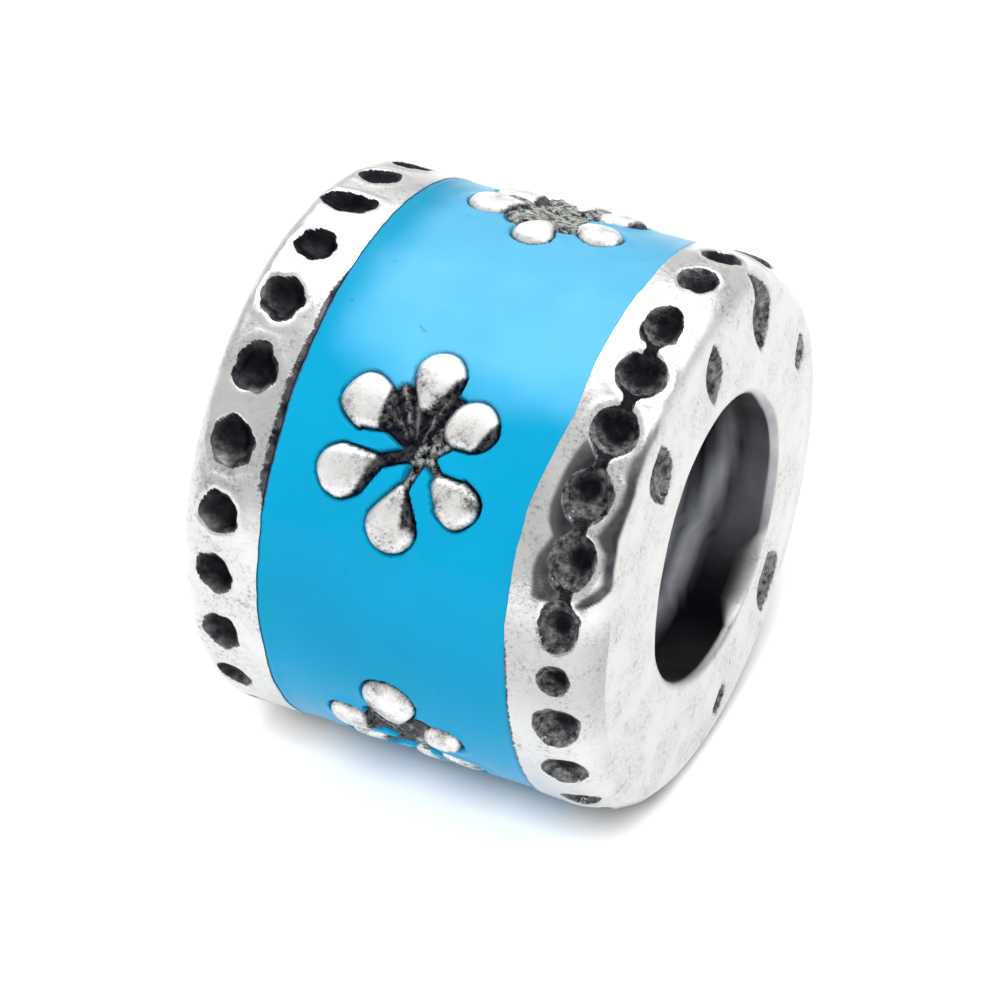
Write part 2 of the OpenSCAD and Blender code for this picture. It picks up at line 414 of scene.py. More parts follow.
def silver_half(name, side, columns, counts, material):
    """One half as a closed shell, with counts of rows in its seven zones."""
    theta = np.arange(columns) * 2 * math.pi / columns
    rows, zones = shell_rows(side, theta, counts)
    x = np.array([row[0] for row in rows])
    r = np.array([row[1] for row in rows])
    nx = np.array([row[2] for row in rows])[:, None] * np.ones_like(x)
    nr = np.array([row[3] for row in rows])[:, None] * np.ones_like(x)
    base = place(x, r, theta)
    outer = np.isin(zones, ("corner", "rim"))[:, None]
    face = np.isin(zones, ("face", "corner"))[:, None]
    shown = np.isin(zones, ("face", "corner", "rim", "mouth"))[:, None]
    deep, inside, lip, pit = dimple_field(side, x, theta)
    deep, inside, lip = deep * outer, inside * outer, lip * outer
    # The end face falls away a little before its corner starts
    join = np.hypot(x - side * HALF_LEN, r - (RIM_R - ROUND[side][1]))
    soften = 0.08 * np.exp(-(join / 0.55) ** 2) * face if side > 0 else 0
    waves = 0.022 * rough(base, 0.55, 2) + 0.006 * rough(base, 2.2, 3)
    grit = 0.035 * rough(base, 5.5, 4) + 0.02 * rough(base, 11, 5)
    push = shown * waves + 0.014 * lip + grit * inside - soften
    # The rim's last row keeps its height, so that the enamel meets it
    rim_last = np.nonzero(zones == "rim")[0][-1]
    push[rim_last] = 0.2 * push[rim_last]
    x = x + nx * push
    r = r + nr * push - deep
    dark = inside.copy()
    # Painted dark reflection round the front dimples, and painted shade under it
    dark_reflection_and_shade = np.zeros_like(x)
    if side > 0:
        dark_reflection_and_shade = dark_reflection_field(x, theta) * outer
        cut, marked = punch_field(r, theta)
        x = x - cut * face
        dark = np.maximum(dark, marked * face)
    edge_line = edge_dirt(side, x, theta) * (zones == "rim")[:, None]
    dark = np.maximum(dark, edge_line)
    pit = np.where((edge_line > 0.05) & (inside < 0.1), 0.38, pit)
    # Painted reflection and painted shade on the bore's wall, and bare pale metal deep in it
    tone = np.zeros_like(x) + painted_bore_tone(x, theta) * np.isin(zones, ("bore", "mouth"))[:, None]
    bore = np.zeros_like(x) + (zones == "bore")[:, None]
    # The bore's painted shade reaches further out of the mouth on the far side
    fade = np.linspace(0, 1, (zones == "mouth").sum() + 1)[1:, None]
    angle = degrees(theta, 180)
    far = step(125, 140, angle) * step(212, 205, angle)
    bore[zones == "mouth"] = (1 - fade) * (1 - far) + step(1.05, 0.8, fade) * far
    polish = np.zeros_like(x) + outer * (1 - inside)
    corner = zones == "corner"
    polish[corner] *= step(0, 0.7, np.linspace(0, 1, corner.sum()))[:, None]
    if side < 0:
        polish = 0.55 * polish
    points = place(x, r, theta)
    points[..., 2] = np.maximum(points[..., 2], -(RIM_R - REST_FLAT))
    faces = loop_faces(*x.shape)
    if side < 0:
        faces = faces[:, ::-1]
    masks = {"dark": dark, "bore": bore, "polish": polish, "dark_reflection_and_shade": dark_reflection_and_shade, "pit": pit, "tone": tone}
    return mesh_piece(name, points, faces, masks, material, 50)


# Flowers: angle round the bead in degrees, place along X, turn in their own plane

FLOWERS = [(111, 0.11, 0), (40.6, 0.05, 0), (-32.6, 0.14, 4), (-118, 0.05, -3), (176.5, 0.05, 5)]
# Those that show: the one at the top, the charted one in the middle and the low one
TOP, CHARTED, LOW = 0, 1, 2

# Petals of the charted flower: turn and distance of the head's middle, width of the head, length and
# radius of the tail, squareness of the head (2 is round), direction in which the bright top falls away,
# how far from the head's middle that starts, distance from the flower's middle at which the root
# starts to fall, greyness
PETALS = [
    (36.1, 1.05, 0.88, 0.50, 0.16, 2.1, -25, 0.26, 0.66, 0.9),
    (89.0, 1.25, 0.90, 0.50, 0.22, 2.0, -28, 0.29, 0.72, 0.3),
    (150.5, 1.14, 0.95, 0.52, 0.18, 2.5, 0, 0.30, 0.60, 0.5),
    (-149.7, 1.26, 0.94, 0.62, 0.15, 2.2, -20, 0.34, 0.64, 0.1),
    (-93.0, 1.30, 0.93, 0.66, 0.12, 2.0, 10, 0.20, 0.60, 0.9),
    (-34.9, 1.14, 0.82, 0.42, 0.20, 2.5, 0, 0.60, 0.60, 0.6),
]
# How dusty each petal is on its upper side
DUST = (0.25, 0.05, 0.2, 0.3, 0.35, 0.7)
# How much painted shade lies along its upper edge, which dims its highlight
UPPER_EDGE_SHADE = (0, 0, 0.1, 0.8, 0.6, 1.0)
# How much darker each petal is along its lower edge
LOW_EDGE_DARKENING = (0.9, 0.9, 0.9, 0.9, 0.25, 0.9)
# The side of this petal falls away only up to this distance past its head's middle
SIDE_PETAL, SIDE_FALL = 4, 0.04
# Stems from the hub to the petals: start (a, b), end (a, b), radius, greyness
STEMS = [
    ((0.22, -0.02), (0.62, 0.33), 0.13, 1.5),
    ((-0.05, -0.10), (-0.66, -0.36), 0.13, 0.1),
    ((0.14, -0.16), (-0.02, -0.72), 0.105, 1.3),
    ((0.30, -0.10), (0.68, -0.46), 0.105, 1.5),
]
# Low webs of silver between two petals: turn, reach, width at the outer end
WEBS = [(61, 1.16, 0.46), (118, 1.12, 0.46), (92, 0.90, 0.50), (150, 0.76, 0.36)]
# More of them, higher, on the flower at the top
TOP_WEBS = [(-120, 1.16, 0.58), (-64, 0.98, 0.50), (178, 1.15, 0.66)]
# Middle and radius of the hub
HUB = (0.06, -0.06, 0.21)
# Fine ridges that fan out over the webs: turn, height
RIDGES = [(60, 0.03), (78, 0.05), (104, 0.035), (117, 0.045), (131, 0.03)]
# Direction in a flower's plane in which its upper edges face
UP = (0.35, 0.94)


def drop(a, b, start, start_r, end, end_r, square=2.0):
    """Signed distance to a drop: a circle at start, a round or squarer head at end, with tangents."""
    length = math.hypot(end[0] - start[0], end[1] - start[1])
    c, s = (end[0] - start[0]) / length, (end[1] - start[1]) / length
    u = (a - start[0]) * c + (b - start[1]) * s
    v = np.abs(-(a - start[0]) * s + (b - start[1]) * c)
    lean = (start_r - end_r) / length
    rise = math.sqrt(1 - lean * lean)
    k = u * rise - v * lean
    near = np.hypot(u, v) - start_r
    far = (np.abs(u - length) ** square + v ** square) ** (1 / square) - end_r
    return np.where(k < 0, near, np.where(k > rise * length, far, v * rise + u * lean - start_r))


def blend(d, e, soft):
    """Joins two outlines with a soft inner corner."""
    h = np.clip(0.5 + 0.5 * (e - d) / soft, 0, 1)
    return e * (1 - h) + d * h - soft * h * (1 - h)


def flower_field(a, b, index, wobble):
    """Radius of a flower's silver at points (a, b) of its plane, its outline, darkness, greyness
    and its dustiness with painted shade."""
    low_d = np.hypot(a - HUB[0], b - HUB[1]) - HUB[2]
    grey = 1.3 * step(0.05, 0.25, a) * step(0.12, -0.05, b)
    for start, end, radius, tone in STEMS:
        d = drop(a, b, start, radius * 1.15, end, radius)
        low_d = blend(low_d, d, 0.06)
        grey = np.maximum(grey, tone * step(0.05, -0.02, d))
    ridges = np.zeros(a.shape)
    for turn, reach, width in WEBS + (TOP_WEBS if index == TOP else []):
        d = drop(a, b, (0.02, 0.02), 0.14, polar(turn, reach - width / 2), width / 2)
        low_d = blend(low_d, d, 0.06)
    if index == TOP:
        grey = np.maximum(grey, 1.6)
    off_middle = np.hypot(a, b)
    way = np.degrees(np.arctan2(b + 0.1, a - 0.05))
    for turn, size in RIDGES:
        ridge = size * np.exp(-((way - turn) / 3.5) ** 2) * step(0.1, 0.35, off_middle)
        ridges = np.maximum(ridges, ridge)
    low_d = low_d + wobble
    level = WEB_R + ridges + (0.12 if index == TOP else 0.03) * step(0.3, 1.0, off_middle)
    top = SINK_R + (level - SINK_R) * step(0, -0.06, low_d)
    streak = np.clip(ridges / 0.04, 0, 1) * 0.8
    grey = np.maximum(grey, streak)
    outline, dark, dust_and_shade = low_d, np.ones(a.shape), np.zeros(a.shape)
    for row, petal in enumerate(local_petals(index)):
        turn, reach, width, tail, tail_r, square, fall_turn, fall_at, root_at, tone = petal
        head, middle = width / 2, polar(turn, reach)
        d = drop(a, b, polar(turn, reach - tail), tail_r, middle, head, square) + wobble
        # Places along and across the petal, and from its head's middle
        c, s = polar(turn, 1)
        u, v = a * c + b * s, -a * s + b * c
        da, db = a - middle[0], b - middle[1]
        fc, fs = polar(fall_turn, 1)
        fallen = da * fc + db * fs - fall_at + 0.5 * wobble
        if row == SIDE_PETAL:
            fallen = np.minimum(fallen, 0.5 * (reach - SIDE_FALL - u))
        root = np.maximum(root_at - u, 0)
        crown = CROWN_R - 0.005 - 0.05 * ((u - reach) ** 2 + v ** 2) / head ** 2
        crown = crown - 0.40 * np.clip(fallen, 0, 0.5) - 0.55 * np.clip(root, 0, 0.3)
        # The lower petals of the low flower are flatter, and painted darker as shade
        flat_and_shaded = step(-0.1, -0.6, b) if index == LOW else 0
        crown = crown - 0.10 * flat_and_shaded
        edge = np.clip(-d / 0.24, 0, 1)
        h = SINK_R + (crown - SINK_R) * np.sqrt(1 - (1 - edge) ** 3)
        # The dark outline is painted thinner on the lit upper side of each head, and wider and grainier
        # on its lower side and under the painted shade of its upper edge
        rise = UP[0] * da + UP[1] * db
        up = rise / (np.hypot(da, db) + 0.01)
        lit = 0.03 * step(-0.5, 0.7, up)
        upper = (0.7 if index == LOW else UPPER_EDGE_SHADE[row]) * step(-0.2, 0.5, up)
        lower = (0 if index == TOP else 0.06) * step(0.0, -0.8, up)
        grain = 0.055 + np.maximum(lower, 0.12 * upper)
        bright = step(0.09, -0.06, fallen) * step(lit, lit - grain, d) * step(0.12, -0.02, root)
        # Painted shade darkens the lower side
        petal_dust_and_shade = DUST[row] + (1 - DUST[row]) * step(0.5, -0.9, rise / head + 3 * wobble)
        if index == TOP:
            petal_dust_and_shade = 0.6 * petal_dust_and_shade
        else:
            # Painted shade along the upper edges, and darker lower edges
            edges = np.maximum(0.9 * upper, LOW_EDGE_DARKENING[row] * step(0.1, -0.6, up))
            petal_dust_and_shade = petal_dust_and_shade + edges * step(-0.34, -0.10, d) + 0.7 * flat_and_shaded
        wins = h > top
        dust_and_shade = np.where(wins, petal_dust_and_shade, dust_and_shade)
        dark = np.where(wins, 1 - bright, dark)
        grey = np.where(wins, tone * step(0.0, 0.08, root) + 0.25 * step(0.0, 0.1, fallen), grey)
        top, outline = np.maximum(top, h), np.minimum(outline, d)
    return top, outline, dark, grey, dust_and_shade


# Two flowers that show at the limbs: turn, reach and width of each petal against the charted one, and
# how much further in its bright top falls away
CHANGES = {
    TOP: [(0, 1, 0.95, 0), (0, 1, 1, 0), (0, 1, 1, 0),
          (-9, 0.95, 0.95, 0), (1, 0.93, 0.80, 0.3), (0, 1, 0.95, 0)],
    LOW: [(0, 0.95, 0.84, 0), (2, 1.10, 1.12, 0.3), (4, 0.96, 0.86, 0),
          (0, 0.9, 0.88, -0.1), (0, 0.92, 0.90, 0), (0, 0.9, 0.88, -0.1)],
}


def local_petals(index):
    """The charted petals, or for the other flowers the same ones with small changes."""
    if index == CHARTED:
        return PETALS
    draw = np.random.default_rng(80 + index)
    rows = []
    for i, (turn, reach, width, *shape, fall_at, root_at, tone) in enumerate(PETALS):
        j = draw.uniform(-1, 1, 3)
        change = (2.5 * j[0], 1 + 0.03 * j[1], 1 + 0.03 * j[2], 0)
        more, further, wider, fall = CHANGES[index][i] if index in CHANGES else change
        rows.append((turn + more, reach * further, width * wider, *shape,
                     fall_at + fall, root_at, tone))
    return rows


def outline_wobble(base):
    """Small unevenness of a flower's outline, shared by its silver and the enamel round it."""
    return 0.018 * rough(base, 3.5, 0)


def flower_plane(index, x, theta):
    """Where points lie in a flower's own plane."""
    angle, middle, turn = FLOWERS[index]
    a = x - middle
    b = around(theta, math.radians(angle)) * RIM_R
    t = math.radians(turn)
    return a * math.cos(t) + b * math.sin(t), -a * math.sin(t) + b * math.cos(t)


# Half the side and the pitch of the grid on which a flower is made
GRID_HALF, PITCH = 1.85, 0.025


def flower(index, material):
    """One closed piece of relief, from under the enamel up to the petals' crowns."""
    grid = np.arange(-GRID_HALF, GRID_HALF + PITCH, PITCH)
    a0, b0 = np.meshgrid(grid, grid, indexing="ij")
    angle, middle, turn = FLOWERS[index]
    t = math.radians(turn)
    x = middle + a0 * math.cos(t) - b0 * math.sin(t)
    theta = math.radians(angle) + (a0 * math.sin(t) + b0 * math.cos(t)) / RIM_R
    base = place(x, RIM_R, theta)
    top, outline, dark, grey, dust_and_shade = flower_field(a0, b0, index, outline_wobble(base))
    top = top + (0.012 * rough(base, 5, 2) + 0.018 * rough(base, 11, 3)) * dark
    top = np.minimum(top, CROWN_R)
    keep = outline < 0.0
    cells = keep[:-1, :-1] & keep[1:, :-1] & keep[:-1, 1:] & keep[1:, 1:]
    number = np.arange(keep.size).reshape(keep.shape)
    corners = [number[:-1, :-1], number[1:, :-1], number[1:, 1:], number[:-1, 1:]]
    quads = np.stack(corners, -1)[cells]
    under = quads[:, ::-1] + keep.size
    # Walls close the piece where a cell has no neighbour
    pairs = np.concatenate([quads[:, [i, (i + 1) % 4]] for i in range(4)])
    forward = pairs[:, 0] * 2 * keep.size + pairs[:, 1]
    backward = pairs[:, 1] * 2 * keep.size + pairs[:, 0]
    border = pairs[~np.isin(forward, backward)]
    walls = np.stack([border[:, 1], border[:, 0], border[:, 0] + keep.size,
                      border[:, 1] + keep.size], -1)
    upper = place(x, np.maximum(top, SINK_R - 0.1), theta).reshape(-1, 3)
    lower = place(x, FLOOR_R - 0.05, theta).reshape(-1, 3)
    points = np.concatenate([upper, lower])
    faces = np.concatenate([quads, under, walls])
    used, packed = np.unique(faces, return_inverse=True)
    points, faces = points[used], packed.reshape(faces.shape)
    points[:, 2] = np.maximum(points[:, 2], -(RIM_R - REST_FLAT))
    masks = {"dark": dark, "grey": grey, "dust_and_shade": dust_and_shade}
    masks = {key: np.tile(values.ravel(), 2)[used] for key, values in masks.items()}
    return mesh_piece(f"flower_{index + 1}", points, faces, masks, material, 60)


# Enamel ring: outer skin from rim to rim, sides and inside

def enamel(name, columns, rows, material):
    """The ring, sunk under the flowers where they stand in it."""
    theta = np.arange(columns) * 2 * math.pi / columns
    back, front = edge_x(-1, theta) + ENAMEL_GAP, edge_x(1, theta) - ENAMEL_GAP
    s = np.linspace(0, 1, rows)[:, None]
    s = s - 0.03 * np.sin(2 * math.pi * s)
    x = back * (1 - s) + front * s
    base = place(x, ENAMEL_R, theta)
    r = ENAMEL_R + 0.010 * rough(base, 0.35, 1) + 0.003 * rough(base, 1.3, 2)
    # The glass creeps up a little at both rims and rounds over where it ends
    gap = np.minimum(x - back, front - x)
    r = r + 0.022 * step(0.25, 0.0, gap) - 0.02 * step(0.03, 0.0, gap)
    angle = degrees(theta, 90)
    # Dirt along the back rim's edge, densest where that rim is dark too
    dirty = 0.25 + 0.40 * step(19, 27, angle) * step(76, 64, angle)
    rim_line = step(0.10, 0.0, gap) * (0.35 + (x < 0) * dirty)
    # Painted reflection of the light overhead, a milky haze over the upper side, with a clear strip
    # along the back rim
    top_reflection = step(46, 66, angle + 11 * rough(base, 0.8, 3)) * step(150, 120, angle)
    top_reflection = top_reflection * step(0.15, 0.85, x - back + 0.18 * rough(base, 1.1, 4))
    top_reflection = top_reflection * (0.85 + 0.15 * rough(base, 1.7, 5))
    # Painted light: low down the glass is a little brighter
    low = np.zeros_like(x) + step(0, -34, degrees(theta)) * step(-100, -70, degrees(theta))
    petal_line = np.zeros_like(x)
    for index in range(len(FLOWERS)):
        a, b = flower_plane(index, x, theta)
        outline = flower_field(a, b, index, outline_wobble(base))[1]
        outline = np.where(np.hypot(a, b) < 2.2, outline, 9.0)
        r = r + 0.02 * step(0.22, 0.0, outline)
        r = r - (r - SINK_R + 0.06) * step(0.02, -0.07, outline)
        petal_line = np.maximum(petal_line, step(0.035, -0.01, outline))
    radii = np.linspace(ENAMEL_R - 0.1, ENAMEL_INNER_R, 4)
    hidden = [place(front, radius, theta) for radius in radii]
    hidden += [place(front * (1 - t) + back * t, ENAMEL_INNER_R, theta) for t in (0.25, 0.5, 0.75)]
    hidden += [place(back, radius, theta) for radius in radii[::-1]]
    points = np.concatenate([place(x, r, theta), hidden])
    points[..., 2] = np.maximum(points[..., 2], -(ENAMEL_R - REST_FLAT))
    extra = np.zeros((len(hidden), columns))
    masks = {"rim_line": rim_line, "petal_line": petal_line, "top_reflection": top_reflection, "low": low}
    masks = {key: np.concatenate([value, extra]) for key, value in masks.items()}
    return mesh_piece(name, points, loop_faces(*points.shape[:2])[:, ::-1], masks, material, 55)


# Materials. Textures read object coordinates in mm, so their scales are per millimetre.

class Nodes:
    """Small helper that adds and links shader nodes."""

    def __init__(self, name):
        self.material = bpy.data.materials.new(name)
        self.material.use_nodes = True
        self.tree = self.material.node_tree
        self.surface = self.tree.nodes["Principled BSDF"]
        place_node = self.tree.nodes.new("ShaderNodeTexCoord")
        self.mm = self.add("ShaderNodeVectorMath", {"operation": "SCALE"}, {"Scale": 1 / MM})
        self.tree.links.new(place_node.outputs["Object"], self.mm.inputs[0])

    def add(self, kind, settings=None, inputs=None):
        node = self.tree.nodes.new(kind)
        for key, value in (settings or {}).items():
            setattr(node, key, value)
        for key, value in (inputs or {}).items():
            if isinstance(value, bpy.types.NodeSocket):
                self.tree.links.new(value, node.inputs[key])
            else:
                node.inputs[key].default_value = value
        return node

    def noise(self, scale, detail=2.0, roughness=0.5, stretch=None):
        """Noise from 0 to 1 with scale features to a millimetre."""
        vector = self.mm.outputs[0]
        if stretch:
            vector = self.add("ShaderNodeVectorMath", {"operation": "MULTIPLY"},
                              {0: vector, 1: stretch}).outputs[0]
        return self.add("ShaderNodeTexNoise", None,
                        {"Vector": vector, "Scale": scale, "Detail": detail,
                         "Roughness": roughness}).outputs["Fac"]

    def mask(self, name):
        return self.add("ShaderNodeAttribute", {"attribute_name": name}).outputs["Fac"]

    def math(self, operation, a, b):
        return self.add("ShaderNodeMath", {"operation": operation}, {0: a, 1: b}).outputs[0]

    def remap(self, value, low, high, to_low=0.0, to_high=1.0):
        """Smooth ramp from to_low at low to to_high at high."""
        return self.add("ShaderNodeMapRange", {"interpolation_type": "SMOOTHSTEP"},
                        {"Value": value, "From Min": low, "From Max": high,
                         "To Min": to_low, "To Max": to_high}).outputs["Result"]

    def mix(self, factor, a, b):
        """Colour a where factor is 0, b where it is 1."""
        node = self.add("ShaderNodeMix", {"data_type": "RGBA"}, {"Factor": factor})
        for socket, value in ((node.inputs[6], a), (node.inputs[7], b)):
            if isinstance(value, bpy.types.NodeSocket):
                self.tree.links.new(value, socket)
            else:
                socket.default_value = (*value, 1)
        return node.outputs[2]

    def bump(self, height, depth_mm, strength=1.0, normal=None):
        inputs = {"Height": height, "Distance": depth_mm * MM, "Strength": strength}
        if normal is not None:
            inputs["Normal"] = normal
        return self.add("ShaderNodeBump", None, inputs).outputs["Normal"]

    def wire(self, **sockets):
        """Sets or links the surface shader's own sockets."""
        for key, value in sockets.items():
            socket = self.surface.inputs[key.replace("_", " ")]
            if isinstance(value, bpy.types.NodeSocket):
                self.tree.links.new(value, socket)
            else:
                socket.default_value = value


SILVER = (0.615, 0.613, 0.605)
DULL_SILVER = (0.535, 0.533, 0.525)
PETAL_SILVER = (0.75, 0.745, 0.73)
# Thin dirt, the deep black and the crumbs in the dimples, and the painted glints in them
DIRT = (0.12, 0.12, 0.122)
OXIDE = (0.005, 0.005, 0.008)
CRUMB = (0.32, 0.32, 0.325)
GLINT = (0.6, 0.6, 0.6)
# Pale wall of the bore, bare or painted as a reflection, and its painted shade; light and dark parts of
# the painted dark reflection
BORE_PALE = (0.76, 0.77, 0.80)
BORE_SHADE = (0.005, 0.005, 0.008)
REFLECTION_PALE = (0.095, 0.095, 0.10)
REFLECTION_DEEP = (0.030, 0.030, 0.036)
# Dirt on the petals, laid on more thickly as painted shade, and the black and the rubbed grey between
# them
PETAL_DIRT_AND_SHADE = (0.13, 0.13, 0.13)
PETAL_OXIDE = (0.005, 0.003, 0.010)
PETAL_GREY = (0.38, 0.40, 0.37)
# Enamel: its two clouds, the painted reflection high on it, its low part painted lighter, specks, dirt
# at the rim, painted shade at petals
BLUE_DEEP = (0.000, 0.160, 0.282)
BLUE_CLEAR = (0.000, 0.197, 0.336)
BLUE_TOP_REFLECTION = (0.090, 0.320, 0.490)
BLUE_LIT_BELOW = (0.0, 0.235, 0.43)
BLUE_SPECK = (0.01, 0.10, 0.25)
BLUE_DIRT = (0.03, 0.03, 0.06)
BLUE_SHADE = (0.01, 0.02, 0.06)


def silver_material():
    """Cast silver: bright and finely dirty on the rims, black in the dimples, dark in the bore."""
    n = Nodes("silver")
    dark, bore, polish = (n.mask(key) for key in ("dark", "bore", "polish"))
    dark_reflection_and_shade, pit, tone = (n.mask(key) for key in ("dark_reflection_and_shade", "pit", "tone"))
    grit = n.noise(12.0, 3.0, 0.65)
    edge = n.math("ADD", dark, n.math("MULTIPLY", n.math("SUBTRACT", grit, 0.5), 0.9))
    oxide = n.remap(edge, 0.36, 0.62)
    # Dirt: broad clouds, in which fine grains gather, and brushed streaks
    clouds = n.remap(n.noise(1.1, 3.0, 0.6), 0.34, 0.64)
    grains = n.remap(n.noise(14.0, 4.0, 0.8), 0.48, 0.68)
    blots = n.remap(n.noise(4.5, 3.0, 0.65), 0.55, 0.75)
    strokes = n.remap(n.noise(5.0, 3.0, 0.6, (1.0, 1.0, 5.0)), 0.50, 0.80)
    dirt = n.math("ADD", n.math("MULTIPLY", grains, 0.6), n.math("MULTIPLY", blots, 0.45))
    dirt = n.math("ADD", n.math("MULTIPLY", dirt, clouds), n.math("MULTIPLY", strokes, 0.12))
    dirt = n.math("ADD", dirt, n.math("MULTIPLY", clouds, 0.08))
    # Crumbs of dirt are fine in the front dimples and coarse in the back ones
    along = n.add("ShaderNodeSeparateXYZ", None, {0: n.mm.outputs[0]}).outputs["X"]
    fineness = n.remap(along, -1.0, 1.0, 3.2, 7.0)
    crumbs = n.noise(fineness, 5.0, n.remap(along, -1.0, 1.0, 0.6, 0.72))
    crumbs = n.remap(crumbs, 0.34, 0.70, 0.04, 0.80)
    # Painted light on the dimples' walls, lightest away from the dark core and on the side that faces
    # up
    wall = n.remap(pit, 0.20, 0.60, 0.05, 1.0)
    soot = n.mix(n.math("MULTIPLY", crumbs, wall), OXIDE, CRUMB)
    # Painted glints near the dimples' mouths
    glints = n.remap(n.noise(17.0, 2.0, 0.6), 0.62, 0.70)
    soot = n.mix(n.math("MULTIPLY", glints, n.remap(pit, 0.72, 0.92)), soot, GLINT)
    metal = n.mix(dirt, n.mix(polish, DULL_SILVER, SILVER), DIRT)
    # Painted shade in the bore, with its painted reflection ring and bare pale metal deep in it
    inner = n.math("MULTIPLY", tone, n.remap(n.noise(1.5, 3.0, 0.55), 0.2, 0.7, 0.70, 1.0))
    metal = n.mix(bore, metal, n.mix(inner, BORE_SHADE, BORE_PALE))
    # Painted dark reflection on the front rim
    dark_reflection = n.mix(n.remap(n.noise(2.2, 4.0, 0.6), 0.35, 0.7), REFLECTION_DEEP, REFLECTION_PALE)
    metal = n.mix(dark_reflection_and_shade, metal, dark_reflection)
    colour = n.mix(oxide, metal, soot)
    smooth = n.remap(polish, 0.0, 1.0, 0.38, 0.20)
    roughness = n.math("ADD", smooth, n.math("MULTIPLY", oxide, 0.08))
    # Brushed lines, fine grain, and crumbs in the dimples
    normal = n.bump(n.noise(6.0, 2.0, 0.5, (0.6, 0.6, 5.0)), 0.004, 0.5)
    normal = n.bump(n.noise(22.0, 3.0, 0.6), 0.006, 0.5, normal)
    normal = n.bump(n.math("MULTIPLY", crumbs, oxide), 0.025, 0.8, normal)
    n.wire(Base_Color=colour, Metallic=1.0, Roughness=roughness, Normal=normal)
    return n.material


def flower_material():
    """Worn pale silver on the petals with painted shade low on them and on upper edges, black and grey
    between them.
    """
    n = Nodes("flower_silver")
    dark, grey, dust_and_shade = n.mask("dark"), n.mask("grey"), n.mask("dust_and_shade")
    grit = n.noise(15.0, 4.0, 0.75)
    edge = n.math("ADD", dark, n.math("MULTIPLY", n.math("SUBTRACT", grit, 0.5), 1.0))
    oxide = n.remap(edge, 0.20, 0.90)
    # Fine grey dirt that gathers in clouds, laid on more thickly as painted shade
    clouds = n.remap(n.noise(1.7, 3.0, 0.6), 0.35, 0.65, 0.15, 1.0)
    grains = n.remap(n.noise(19.0, 4.0, 0.8), 0.46, 0.66)
    blots = n.remap(n.noise(5.0, 4.0, 0.7), 0.44, 0.68)
    dirt = n.math("ADD", n.math("MULTIPLY", grains, 0.50), n.math("MULTIPLY", clouds, 0.20))
    dirt = n.math("ADD", dirt, n.math("MULTIPLY", blots, 0.35))
    dirt = n.math("MULTIPLY", dirt, n.math("MULTIPLY", clouds, n.math("ADD", dust_and_shade, 0.4)))
    shine = n.remap(n.noise(9.0, 4.0, 0.7), 0.38, 0.64)
    shine = n.math("MULTIPLY", shine, n.math("ADD", n.math("MULTIPLY", grey, 0.75), 0.05))
    soot = n.mix(shine, PETAL_OXIDE, PETAL_GREY)
    metal = n.mix(dirt, PETAL_SILVER, PETAL_DIRT_AND_SHADE)
    colour = n.mix(oxide, metal, soot)
    normal = n.bump(n.noise(18.0, 3.0, 0.6), 0.008, 0.6)
    normal = n.bump(n.math("MULTIPLY", shine, oxide), 0.02, 0.8, normal)
    n.wire(Base_Color=colour, Metallic=1.0, Roughness=0.5, Normal=normal)
    return n.material


def enamel_material():
    """Glossy blue glass with a painted reflection high up and painted light low down, and dirt where it
    meets the silver.
    """
    n = Nodes("enamel")
    rim_line, petal_line = n.mask("rim_line"), n.mask("petal_line")
    top_reflection, low = n.mask("top_reflection"), n.mask("low")
    colour = n.mix(n.noise(0.5, 2.0, 0.5), BLUE_DEEP, BLUE_CLEAR)
    # Painted reflection high up
    colour = n.mix(n.math("MULTIPLY", top_reflection, 0.75), colour, BLUE_TOP_REFLECTION)
    # Painted light low down
    colour = n.mix(low, colour, BLUE_LIT_BELOW)
    specks = n.math("MULTIPLY", n.remap(n.noise(5.0, 1.0, 0.5), 0.76, 0.80), 0.5)
    colour = n.mix(specks, colour, BLUE_SPECK)
    crumbs = n.noise(11.0, 2.0, 0.6)
    line = n.remap(n.math("ADD", rim_line, n.math("MULTIPLY", crumbs, 0.8)), 0.95, 1.25)
    colour = n.mix(n.math("MULTIPLY", line, 0.8), colour, BLUE_DIRT)
    colour = n.mix(n.remap(petal_line, 0.5, 1.0, 0.0, 0.4), colour, BLUE_SHADE)
    ripple = n.bump(n.noise(1.2, 2.0, 0.5), 0.01, 0.5)
    n.wire(Base_Color=colour, Roughness=0.28, Normal=ripple, IOR=1.12, Coat_Weight=0.08,
           Coat_Roughness=0.04)
    return n.material


silver = silver_material()
flower_silver = flower_material()
glass = enamel_material()

# Columns round each half, then rows in its bore, mouth, end face, corner, rim, wall and floor
front_half = silver_half("barrel_front", 1, 864, (20, 8, 27, 32, 20, 4, 3), silver)
back_half = silver_half("barrel_back", -1, 760, (9, 6, 18, 28, 22, 4, 3), silver)
flowers = [flower(index, flower_silver) for index in range(len(FLOWERS))]
band = enamel("enamel", 780, 104, glass)

for piece in (front_half, back_half, *flowers):
    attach(piece, "root")
    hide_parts("silver_body")
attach(band, "root")
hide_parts("enamel_band")


# Stage: white table, soft lights, and a bright card that only reflections see

def plain(name, colour):
    n = Nodes(name)
    n.wire(Base_Color=(*colour, 1), Roughness=1.0)
    return n.material


def sheet(name, size, location, towards, material):
    """A flat rectangle of the stage that faces towards a direction, in metres."""
    mesh = bpy.data.meshes.new(name)
    w, h = size[0] / 2, size[1] / 2
    mesh.from_pydata([(-w, -h, 0), (w, -h, 0), (w, h, 0), (-w, h, 0)], [], [(0, 1, 2, 3)])
    mesh.materials.append(material)
    thing = bpy.data.objects.new(name, mesh)
    scene.collection.objects.link(thing)
    thing.location = location
    thing.rotation_mode = "QUATERNION"
    thing.rotation_quaternion = Vector(towards).to_track_quat("Z", "Y")
    return thing


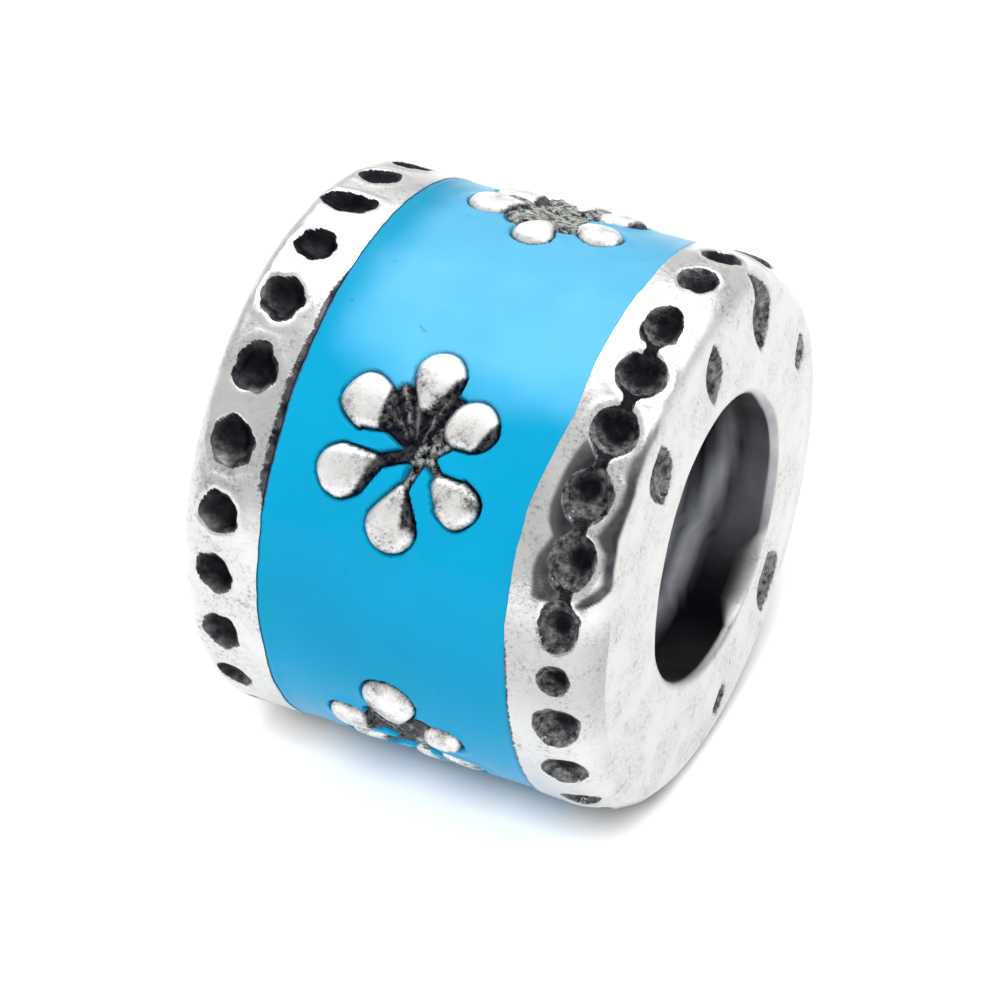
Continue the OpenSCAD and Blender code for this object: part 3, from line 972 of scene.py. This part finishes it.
def direction(azimuth, elevation):
    """Unit vector towards an azimuth from -Y to +X and an elevation, in degrees."""
    a, e = math.radians(azimuth), math.radians(elevation)
    return Vector((math.sin(a) * math.cos(e), -math.cos(a) * math.cos(e), math.sin(e)))


paper = plain("paper", (0.75, 0.75, 0.75))
sheet("table", (3, 3), (0, 0, -(RIM_R - REST_FLAT) * MM), (0, 0, 1), paper)


def glow(name, bands):
    """White light, stronger in bands along Y. Each has its strength, start, soft width and end."""
    n = Nodes(name)
    y = n.add("ShaderNodeSeparateXYZ", None, {0: n.mm.outputs[0]}).outputs["Y"]
    power = 1.0
    for strength, start, soft, end in bands:
        rise = n.remap(y, start / MM, (start + soft) / MM, 0.0, strength)
        fall = n.remap(y, end / MM, (end - soft) / MM)
        power = n.math("ADD", power, n.math("MULTIPLY", rise, fall))
    emission = n.add("ShaderNodeEmission", None, {"Strength": power})
    n.tree.links.new(emission.outputs[0], n.tree.nodes["Material Output"].inputs["Surface"])
    return n.material


# A bright sheet overhead, seen only by reflections. It is brightest a little behind the bead.
shine = glow("card_glow", [(0.8, -0.32, 0.12, 0.50), (2.4, -0.22, 0.08, 0.04)])
card = sheet("card", (1.3, 0.9), (0.15, 0.22, 0.30), (0, 0, -1), shine)
card.visible_camera = card.visible_diffuse = False
card.visible_shadow = card.visible_transmission = False

# Azimuth, elevation, distance and width in metres, power in watts
SOFTBOXES = [
    (17, 51, 0.36, 0.13, 1.55),
    (30, 84, 0.30, 0.16, 0.42),
]
for i, (azimuth, elevation, distance, width, power) in enumerate(SOFTBOXES):
    light = bpy.data.lights.new(f"softbox_{i + 1}", "AREA")
    light.size = width
    light.energy = power
    lamp = bpy.data.objects.new(light.name, light)
    scene.collection.objects.link(lamp)
    lamp.location = direction(azimuth, elevation) * distance
    lamp.rotation_mode = "QUATERNION"
    lamp.rotation_quaternion = direction(azimuth, elevation).to_track_quat("Z", "Y")
    lamp.visible_glossy = False

world = bpy.data.worlds.new("studio")
scene.world = world
world.use_nodes = True
background = world.node_tree.nodes["Background"].inputs
background["Color"].default_value = (1, 1, 1, 1)
background["Strength"].default_value = 0.9

scene.view_settings.view_transform = "Standard"

# Camera at the photo's place: its angles, and its distance in mm. The focal length and the middle of
# the bore are in pixels of the square image.
AZIMUTH, ELEVATION, DISTANCE = 26.6, 37.0, 57.7
PIXELS, FOCAL, MIDDLE = 1000, 3396.0, (512.7, 484.3)
SENSOR = 36
back = direction(AZIMUTH, ELEVATION)
right = Vector((math.cos(math.radians(AZIMUTH)), math.sin(math.radians(AZIMUTH)), 0))
up = back.cross(right)
off_x = (MIDDLE[0] - PIXELS / 2) / FOCAL * DISTANCE
off_y = -(MIDDLE[1] - PIXELS / 2) / FOCAL * DISTANCE
camera = bpy.data.objects.new("camera", bpy.data.cameras.new("camera"))
scene.collection.objects.link(camera)
camera.data.sensor_width = SENSOR
camera.data.lens = FOCAL * SENSOR / PIXELS
camera.data.clip_start, camera.data.clip_end = 0.002, 10
spot = Matrix.Translation((back * DISTANCE - right * off_x - up * off_y) * MM)
camera.matrix_world = spot @ Matrix((right, up, back)).transposed().to_4x4()
scene.camera = camera

bpy.context.view_layer.update()
